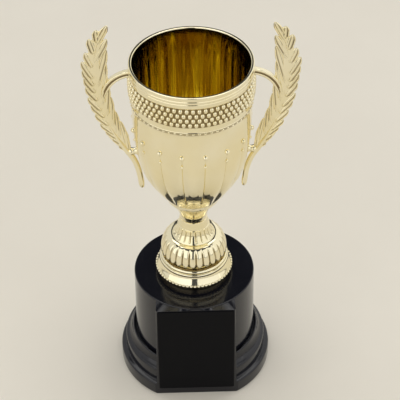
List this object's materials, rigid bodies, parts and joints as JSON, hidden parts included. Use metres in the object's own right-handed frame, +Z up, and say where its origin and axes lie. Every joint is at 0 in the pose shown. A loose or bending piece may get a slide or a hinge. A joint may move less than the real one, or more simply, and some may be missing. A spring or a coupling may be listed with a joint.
{
  "type": "cup trophy",
  "caption": "Open metallic cup on a waisted stem with laurel spray handles, standing on a round stepped black base with a flat front pad.",
  "frame": {"origin": "centre of the resting face, on the axis of the cup", "axes": "+Z up along the cup's axis, -Y towards the front pad, X through the two handles"},
  "size_m": [0.1044, 0.074, 0.2122],
  "materials": {
    "base_black": "gloss black moulding",
    "plate_black": "satin black plate, blank",
    "weight_iron": "bare casting",
    "cover_board": "black board",
    "gold": "vacuum-metallised pale gold, lacquered",
    "zinc_steel": "zinc plated"
  },
  "bodies": {
    "root": {"base_shell": "base_black", "name_plate": "plate_black", "base_weight": "weight_iron", "bottom_cover": "cover_board", "stem_flange": "gold", "stem_dome": "gold", "neck_collar": "gold", "bowl": "gold", "handle_left": "gold", "handle_right": "gold", "centre_rod": "zinc_steel", "base_washer": "zinc_steel", "base_nut": "zinc_steel", "bowl_washer": "zinc_steel", "bowl_nut": "zinc_steel"}
  },
  "joints": []
}
